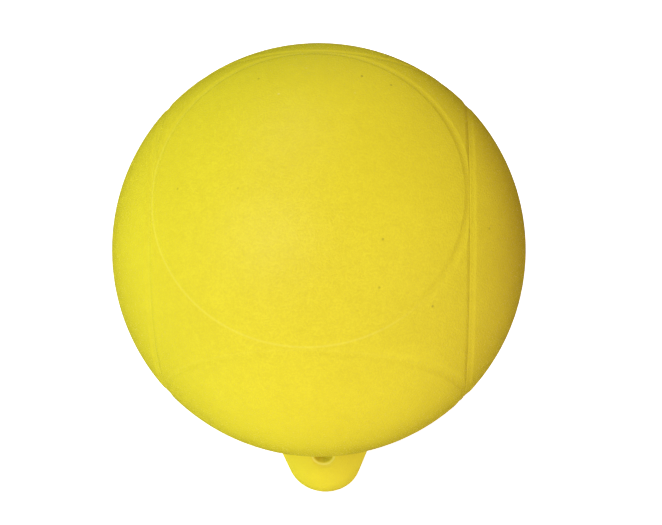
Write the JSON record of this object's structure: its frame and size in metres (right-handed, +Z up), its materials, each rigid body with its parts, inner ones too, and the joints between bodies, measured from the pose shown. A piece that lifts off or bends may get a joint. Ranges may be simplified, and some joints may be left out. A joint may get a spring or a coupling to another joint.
{
  "type": "marker buoy",
  "caption": "Round hollow plastic marker buoy with shallow ring grooves and a moulded tab below it, bored with an eye for the mooring line.",
  "frame": {"origin": "middle of the mooring eye's bore", "axes": "+Z up from the eye through the middle of the ball; +Y along the eye's bore, from the front face of the tab to the back; +X across the broad faces of the tab"},
  "size_m": [0.2, 0.1998, 0.2404],
  "materials": {
    "yellow_plastic": "satin, with a fine mould grain"
  },
  "bodies": {
    "root": {"buoy_body": "yellow_plastic"}
  },
  "joints": []
}
